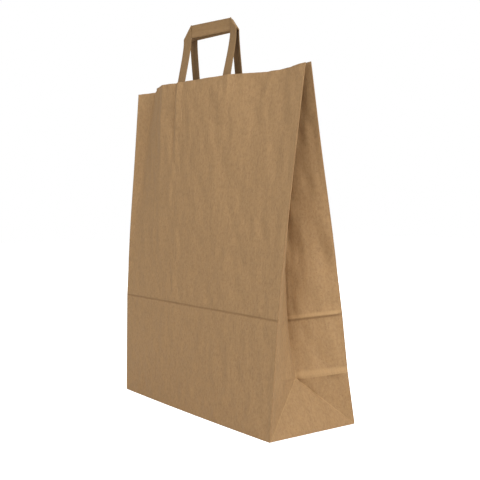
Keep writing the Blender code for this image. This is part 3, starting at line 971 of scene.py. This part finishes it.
def leg_sections(bag, side, end):
    """Sections of a leg, from its end inside the bag to the start of its mitre."""
    sizes = bag.sizes
    outer_u, inner_u = bag.leg_edges(side, end)
    shares = np.array(TAPE_PROFILE)[:, 0]
    u = outer_u + (inner_u - outer_u) * shares
    depth = sizes.wall / 2 + GLUE_GAP + sizes.tape_thick / 2
    sections = []
    patch_top = sizes.height - sizes.patch_drop
    for v in filled({sizes.height - sizes.leg_inside, patch_top}, TAPE_STEP):
        middles = bag.paper(side, u, v, depth)
        sections.append(tape_section(middles, -bag.inward(side, u, v), sizes.tape_thick))
    middle_u = [(outer_u + inner_u) / 2]
    edges = bag.paper(side, [outer_u, inner_u], patch_top, depth)
    start = bag.paper(side, middle_u, patch_top, depth)[0]
    rise = unit(start - bag.paper(side, middle_u, patch_top - TAPE_STEP, depth)[0])
    foot = bag.paper(side, middle_u, sizes.height, depth + LEG_STANDS[side])[0]
    turn = LEG_TURNS[side, end]
    foot_width = np.array((math.cos(turn), math.sin(turn), 0.0)) * -end
    corner, along, up, facing = mitre_frame(bag, side, end)
    layer = (sizes.tape_thick + MITRE_GAP) / 2
    goal = corner - up * (sizes.tape_width + LEG_STRAIGHT) - facing * side * layer
    climb = unit(goal - foot)
    spans = (
        (start, foot, rise, climb, unit(edges[1] - edges[0]), foot_width),
        (foot, goal, climb, up, foot_width, along * -end),
    )
    for begin, finish, leave, arrive, width, goal_width in spans:
        reach = np.linalg.norm(finish - begin)
        steps = max(2, round(reach / TAPE_STEP))
        shares_up = np.arange(1, steps + 1) / steps
        places = hermite(begin, finish, leave * reach * LEG_EASE, arrive * reach * LEG_EASE, shares_up)
        ahead = np.gradient(np.concatenate([[begin], places]), axis=0)[1:]
        ahead[-1] = arrive
        for share, place, heading in zip(shares_up, places, unit(ahead)):
            across = width * (1 - share) + goal_width * share
            across = unit(across - heading * across.dot(heading))
            face = np.cross(across, heading) * side * end
            half = across * sizes.tape_width / 2
            sections.append(straight_section(place - half, place + half, face, sizes.tape_thick))
    return sections


def mitre_sections(bag, side, end):
    """Sections of the tape round its 45 degree fold, from the leg onto the grip."""
    sizes = bag.sizes
    corner, along, up, facing = mitre_frame(bag, side, end)
    outward = facing * -side
    layer = (sizes.tape_thick + MITRE_GAP) / 2
    outer = corner + along * end * sizes.tape_width / 2
    inner = corner - along * end * sizes.tape_width / 2
    low = up * -sizes.tape_width
    ahead = unit(along * end + up)
    sections = []
    for lead in (0.66, 0.33):
        back = -up * LEG_STRAIGHT * lead
        edge_a, edge_b = outer + low + back, inner + low * lead + back
        shift = outward * layer
        sections.append(straight_section(edge_a + shift, edge_b + shift, outward, sizes.tape_thick))
    for angle in np.linspace(0, math.pi, MITRE_STEPS):
        face = outward * math.cos(angle) + ahead * math.sin(angle)
        shift = face * layer
        sections.append(straight_section(outer + low + shift, inner + shift, face, sizes.tape_thick))
    for lead in (0.5, 1.0):
        edge_a = outer + low - along * end * sizes.tape_width * lead
        shift = -outward * layer
        sections.append(straight_section(edge_a + shift, inner + shift, -outward, sizes.tape_thick))
    return sections


def make_handle(bag, name, side, material):
    """One tape: up the left leg, round the mitre, along the grip and down the right leg."""
    sizes = bag.sizes
    left = leg_sections(bag, side, LEFT) + mitre_sections(bag, side, LEFT)
    right = leg_sections(bag, side, RIGHT) + mitre_sections(bag, side, RIGHT)
    start, finish = left[-1], right[-1]
    count = max(2, round((sizes.leg_pitch - sizes.tape_width) / TAPE_STEP))
    grip = [start * (1 - i / count) + finish * i / count for i in range(1, count)]
    sections = np.array(left + grip + right[::-1])
    rings, around = sections.shape[:2]
    travel = np.linalg.norm(np.diff(sections.mean(1), axis=0), axis=1)
    travel = np.concatenate([[0], np.cumsum(travel)]) / MM
    shares = np.array(TAPE_PROFILE)[:, 0] * sizes.tape_width / MM
    across = np.concatenate([shares, shares[::-1]])
    face = np.concatenate([np.zeros(len(shares)), np.full(len(shares), TAPE_BACK_PLACE)])
    places = np.stack(np.broadcast_arrays(across[None] + face[None], travel[:, None], face[None]), axis=-1)
    faces = grid_faces(rings, around, closed=True)
    faces += [tuple(range(around)), tuple(reversed(range((rings - 1) * around, rings * around)))]
    mesh = mesh_from(name, sections.reshape(-1, 3), faces, places.reshape(-1, 3))
    work = bmesh.new()
    work.from_mesh(mesh)
    bmesh.ops.recalc_face_normals(work, faces=work.faces)
    work.to_mesh(mesh)
    work.free()
    handle = add_object(name, mesh, material)
    settle(handle, math.radians(50))
    return handle


def new_material(name):
    material = bpy.data.materials.new(name)
    material.use_nodes = True
    material.node_tree.nodes.clear()
    return material, material.node_tree


def add(tree, kind, settings=None, inputs=None):
    """Add a node with its settings, and its inputs as values or links from other nodes' outputs."""
    node = tree.nodes.new(kind)
    for name, value in (settings or {}).items():
        setattr(node, name, value)
    for key, value in (inputs or {}).items():
        if isinstance(value, bpy.types.Node):
            value = value.outputs[0]
        if isinstance(value, bpy.types.NodeSocket):
            tree.links.new(value, node.inputs[key])
        else:
            node.inputs[key].default_value = value
    return node


def line_mask(tree, place, line, near, far):
    """1 on a line of the sheet and 0 away from it: near and far are distances from it in mm."""
    offset = add(tree, "ShaderNodeMath", {"operation": "SUBTRACT"}, {0: place, 1: line})
    distance = add(tree, "ShaderNodeMath", {"operation": "ABSOLUTE"}, {0: offset})
    return add(
        tree,
        "ShaderNodeMapRange",
        {"interpolation_type": "SMOOTHSTEP"},
        {0: distance, 1: near, 2: far, 3: 1.0, 4: 0.0},
    )


def pattern(tree, place, size, detail, seed):
    """Random pattern over the flat sheet, with bumps of the given size in mm across and along."""
    scaled = add(
        tree,
        "ShaderNodeVectorMath",
        {"operation": "MULTIPLY"},
        {0: place, 1: (1 / size[0], 1 / size[1], 0.0)},
    )
    moved = add(tree, "ShaderNodeVectorMath", {"operation": "ADD"}, {0: scaled, 1: (seed, seed * 0.7, 0.0)})
    return add(
        tree,
        "ShaderNodeTexNoise",
        {"noise_dimensions": "2D"},
        {"Vector": moved, "Scale": 1.0, "Detail": detail, "Roughness": 0.6},
    )


def tint(tree, tone, colour, strength, *masks):
    """The tone, tinted towards a colour at a strength, where all of the masks are."""
    for mask in masks:
        strength = add(tree, "ShaderNodeMath", {"operation": "MULTIPLY"}, {0: strength, 1: mask})
    tinted = add(tree, "ShaderNodeMix", {"data_type": "RGBA"}, {0: strength, 6: tone, 7: colour})
    return tinted.outputs[2]


def opaque(colour, level=1.0):
    return (*(c * level for c in colour), 1.0)


def fold_scuffs_and_shading(tree, tone, colours, bag, place, clouds):
    """The paper's tone with painted shade in the upper crease and beside the panels' corner folds, painted
    highlights on the gussets' rear halves, and diagonal folds that are partly scuffed paper and partly
    painted highlight.
    """
    round_it, up, into = add(tree, "ShaderNodeSeparateXYZ", {}, {0: place}).outputs
    lower, upper, width = (length / MM for length in (bag.lower, bag.upper, bag.sizes.width))
    in_gusset = add(tree, "ShaderNodeMath", {"operation": "GREATER_THAN"}, {0: into, 1: 0.3})
    on_panel = add(tree, "ShaderNodeMath", {"operation": "LESS_THAN"}, {0: into, 1: 0.3})
    right_rear, left_rear = (
        add(tree, "ShaderNodeMath", {"operation": "COMPARE"}, {0: round_it, 1: middle, 2: lower / 2})
        for middle in (width + 1.5 * lower, 2 * width + 2.5 * lower)
    )
    rear_half = add(tree, "ShaderNodeMath", {"operation": "MAXIMUM"}, {0: right_rear, 1: left_rear})
    # Where the upper crease gets painted shade: the panels and the gussets' rear halves.
    crease_shade_parts = add(tree, "ShaderNodeMath", {"operation": "MAXIMUM"}, {0: on_panel, 1: rear_half})
    under = add(tree, "ShaderNodeMath", {"operation": "LESS_THAN"}, {0: up, 1: lower + 0.5})
    # Patchy strength of the painted shade beside the corner folds, taken from the pulp's clouds.
    corner_shade_patches = add(tree, "ShaderNodeMapRange", {}, {0: clouds, 1: 0.35, 2: 0.6, 3: 0.35, 4: 1.0})
    wear_and_highlight, fibre_and_shade = opaque(colours.wear_and_highlight), opaque(colours.fibre_and_shade)
    # For each: what it is measured along, its place there, the distances in mm at which it is whole and
    # gone, where it shows, its strength and its colour.
    # Painted highlight on the upward face of the rear halves' lip above the upper crease.
    lip = (up, upper + 3.4, 0.8, 2.6, (rear_half,), 0.30, wear_and_highlight)
    # Painted highlight on the upward face of the rear halves' ridge along the lower crease.
    ridge = (up, lower + 4.0, 0.8, 4.5, (rear_half,), 0.30, wear_and_highlight)
    # Painted shade beside the panels' corner folds, stronger in patches.
    corner = (into, 0.0, 0.1, 0.8, (corner_shade_patches,), 0.30, fibre_and_shade)
    # Paler paper along the gussets' diagonal folds: partly scuffed paper, partly painted highlight.
    diagonal = (up, into, 0.2, 1.0, (in_gusset, under), 0.35, wear_and_highlight)
    # Painted highlight along the lower crease on the gussets' rear halves.
    shelf = (up, lower, 0.3, 1.2, (in_gusset, rear_half), 0.25, wear_and_highlight)
    # Painted shade in the upper crease, on the panels and the gussets' rear halves.
    crease = (up, upper, 0.7, 1.9, (crease_shade_parts,), 0.45, fibre_and_shade)
    for along, line, near, far, masks, strength, colour in (lip, ridge, corner, diagonal, shelf, crease):
        tone = tint(tree, tone, colour, strength, line_mask(tree, along, line, near, far), *masks)
    return tone


def kraft_paper(name, colour, colours, bag=None):
    """Unbleached kraft paper, machine made with a dull glaze, and with the bag's fold lines if it has any.

    The eye sees a warm brown with fine upright streaks of fibres, soft clouds where the pulp lies thicker
    and darker specks of bark. On the bag's sheet there is painted shade in the creases and beside the
    corner folds, and painted highlights on the gussets' lips, ridges and lower crease; the diagonal folds
    are paler, partly where folding broke the glaze and partly as painted highlight.
    """
    material, tree = new_material(name)
    place = add(tree, "ShaderNodeAttribute", {"attribute_type": "GEOMETRY", "attribute_name": PLACE})
    place = place.outputs["Vector"]
    layers = {
        "streaks": opaque(colours.fibre_and_shade),
        "blotches": opaque(colours.fibre_and_shade),
        "clouds": opaque(colour, THICK_PULP),
        "specks": opaque(colours.fibre_and_shade, BARK),
    }
    tone = opaque(colour, THIN_PULP)
    patterns = {}
    for kind, layer in layers.items():
        size, detail, seed, (low, high), strength = PULP[kind]
        patterns[kind] = pattern(tree, place, size, detail, seed)
        inputs = {0: patterns[kind], 1: low, 2: high, 3: 0.0, 4: strength}
        tone = tint(tree, tone, layer, add(tree, "ShaderNodeMapRange", {}, inputs))
    clouds = patterns["clouds"]
    if bag:
        tone = fold_scuffs_and_shading(tree, tone, colours, bag, place, clouds)
    rough = add(tree, "ShaderNodeMapRange", {}, {0: clouds, 1: 0.3, 2: 0.7, 3: 0.74, 4: 0.90})
    inputs = {0: patterns["streaks"], 1: 0.7, 2: patterns["blotches"]}
    height = add(tree, "ShaderNodeMath", {"operation": "MULTIPLY_ADD"}, inputs)
    bump = add(tree, "ShaderNodeBump", {}, {"Strength": 0.5, "Distance": 0.0002, "Height": height})
    shader = add(
        tree,
        "ShaderNodeBsdfPrincipled",
        {},
        {"Base Color": tone, "Roughness": rough, "Normal": bump, "IOR": 1.5, "Specular IOR Level": 0.35},
    )
    add(tree, "ShaderNodeOutputMaterial", {}, {"Surface": shader})
    return material


def seen_rays(tree):
    """1 for the rays that show a surface to the camera, straight, mirrored or through something clear."""
    rays = add(tree, "ShaderNodeLightPath").outputs
    seen = rays["Is Camera Ray"]
    for other in ("Is Glossy Ray", "Is Transmission Ray"):
        seen = add(tree, "ShaderNodeMath", {"operation": "MAXIMUM"}, {0: seen, 1: rays[other]})
    return seen


def studio_floor(colour):
    """Pale matt floor. The camera sees it lifted to white, and it keeps the bag's faint shadow."""
    material, tree = new_material("matt_floor")
    lift = add(tree, "ShaderNodeMath", {"operation": "MULTIPLY"}, {0: seen_rays(tree), 1: FLOOR_LIFT})
    matt = add(tree, "ShaderNodeBsdfDiffuse", {}, {"Color": opaque(colour)})
    glow = add(tree, "ShaderNodeEmission", {}, {"Color": (1, 1, 1, 1), "Strength": lift})
    both = add(tree, "ShaderNodeAddShader", {}, {0: matt, 1: glow})
    add(tree, "ShaderNodeOutputMaterial", {}, {"Surface": both})
    return material


class GIFTBAG_OT_fold_sheet(bpy.types.Operator):
    """Fold the bag's one sheet of kraft paper"""

    bl_idname = "gift_bag.fold_sheet"
    bl_label = "Fold the sheet"

    def execute(self, context):
        bag = Bag(context.scene.bag_sizes)
        colours = context.scene.bag_colours
        material = kraft_paper("unbleached_kraft_paper", colours.paper, colours, bag)
        sheet = make_sheet(bag, material)
        check_place(sheet, "bag_body")
        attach(sheet, "root")
        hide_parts("bag_body")
        return {"FINISHED"}


class GIFTBAG_OT_glue_patches(bpy.types.Operator):
    """Glue a patch over the legs inside each panel"""

    bl_idname = "gift_bag.glue_patches"
    bl_label = "Glue the patches"

    def execute(self, context):
        bag = Bag(context.scene.bag_sizes)
        colours = context.scene.bag_colours
        # The patches are offcuts of kraft paper with no folds, coloured a little darker than the sheet as
        # painted shade for their place inside the bag.
        material = kraft_paper("kraft_patch_paper", colours.patch, colours)
        for side, node in ((FRONT, "patch_front"), (REAR, "patch_rear")):
            patch = make_patch(bag, "leg_" + node, side, material)
            check_place(patch, node)
            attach(patch, "root")
            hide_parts(node)
        return {"FINISHED"}


class GIFTBAG_OT_bend_handles(bpy.types.Operator):
    """Bend the two flat handles from folded kraft tape"""

    bl_idname = "gift_bag.bend_handles"
    bl_label = "Bend the handles"

    def execute(self, context):
        bag = Bag(context.scene.bag_sizes)
        colours = context.scene.bag_colours
        # The tape is kraft paper folded to a few plies and pressed, so it looks darker and denser.
        material = kraft_paper("folded_kraft_tape", colours.tape, colours)
        for side, node in ((FRONT, "handle_front"), (REAR, "handle_rear")):
            handle = make_handle(bag, "tape_" + node, side, material)
            check_place(handle, node)
            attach(handle, "root")
            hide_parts(node)
        return {"FINISHED"}


class GIFTBAG_OT_set_studio(bpy.types.Operator):
    """Set up the pale floor, the soft lamps and the camera"""

    bl_idname = "gift_bag.set_studio"
    bl_label = "Set up the studio"

    def execute(self, context):
        scene = context.scene
        scene.view_settings.view_transform = "Standard"
        mesh = bpy.data.meshes.new("floor")
        square = ((-1, -1), (1, -1), (1, 1), (-1, 1))
        corners = [(x * FLOOR_REACH, y * FLOOR_REACH, 0.0) for x, y in square]
        mesh.from_pydata(corners, [], [(0, 1, 2, 3)])
        add_object("floor", mesh, studio_floor(scene.bag_colours.floor))
        light_studio(scene)
        aim_camera(scene)
        return {"FINISHED"}


def light_studio(scene):
    """Soft light from all round, a background that the camera sees as white, and the lamps."""
    world = bpy.data.worlds.new("studio")
    scene.world = world
    world.use_nodes = True
    tree = world.node_tree
    tree.nodes.clear()
    seen = seen_rays(tree)
    strength = add(tree, "ShaderNodeMapRange", {}, {0: seen, 1: 0.0, 2: 1.0, 3: SKY_LIGHT, 4: 1.0})
    sky = add(tree, "ShaderNodeBackground", {}, {"Color": (1, 1, 1, 1), "Strength": strength})
    add(tree, "ShaderNodeOutputWorld", {}, {"Surface": sky})
    for settings in LAMPS:
        lamp(*settings)


def lamp(name, place, size, power):
    """A square soft lamp that faces the bag's middle."""
    data = bpy.data.lights.new(name, "AREA")
    data.size = size
    data.energy = power
    obj = bpy.data.objects.new(name, data)
    obj.location = place
    obj.rotation_euler = (Vector(LAMP_AIM) - Vector(place)).to_track_quat("-Z", "Y").to_euler()
    bpy.context.scene.collection.objects.link(obj)


def aim_camera(scene):
    """The camera at the photo's viewing angle."""
    data = bpy.data.cameras.new("camera")
    data.lens = CAMERA_LENS
    data.sensor_width = CAMERA_SENSOR
    camera = bpy.data.objects.new("camera", data)
    level = Vector((-math.sin(CAMERA_YAW), math.cos(CAMERA_YAW), 0))
    ahead = level * math.cos(CAMERA_PITCH) - Vector((0, 0, 1)) * math.sin(CAMERA_PITCH)
    right = Vector((math.cos(CAMERA_YAW), math.sin(CAMERA_YAW), 0))
    up = right.cross(ahead)
    rolled_right = right * math.cos(CAMERA_ROLL) + up * math.sin(CAMERA_ROLL)
    rolled_up = up * math.cos(CAMERA_ROLL) - right * math.sin(CAMERA_ROLL)
    turn = Matrix((rolled_right, rolled_up, -ahead)).transposed()
    camera.matrix_world = Matrix.Translation(CAMERA_PLACE) @ turn.to_4x4()
    scene.collection.objects.link(camera)
    scene.camera = camera


class GIFTBAG_PT_maker(bpy.types.Panel):
    """Sizes, colours and the steps of making the bag"""

    bl_idname = "GIFTBAG_PT_maker"
    bl_label = "Gift Bag"
    bl_space_type = "VIEW_3D"
    bl_region_type = "UI"
    bl_category = "Gift Bag"

    def draw(self, context):
        for group in (context.scene.bag_sizes, context.scene.bag_colours):
            column = self.layout.column()
            for name in group.__annotations__:
                column.prop(group, name)
        for operator in OPERATORS:
            self.layout.operator(operator.bl_idname)


OPERATORS = (
    GIFTBAG_OT_fold_sheet,
    GIFTBAG_OT_glue_patches,
    GIFTBAG_OT_bend_handles,
    GIFTBAG_OT_set_studio,
)
CLASSES = (BagSizes, BagColours) + OPERATORS + (GIFTBAG_PT_maker,)


def register():
    for cls in CLASSES:
        bpy.utils.register_class(cls)
    bpy.types.Scene.bag_sizes = bpy.props.PointerProperty(type=BagSizes)
    bpy.types.Scene.bag_colours = bpy.props.PointerProperty(type=BagColours)


def unregister():
    del bpy.types.Scene.bag_colours
    del bpy.types.Scene.bag_sizes
    for cls in reversed(CLASSES):
        bpy.utils.unregister_class(cls)


def main():
    register()
    bpy.ops.gift_bag.fold_sheet()
    bpy.ops.gift_bag.glue_patches()
    bpy.ops.gift_bag.bend_handles()
    bpy.ops.gift_bag.set_studio()


if __name__ == "__main__":
    main()
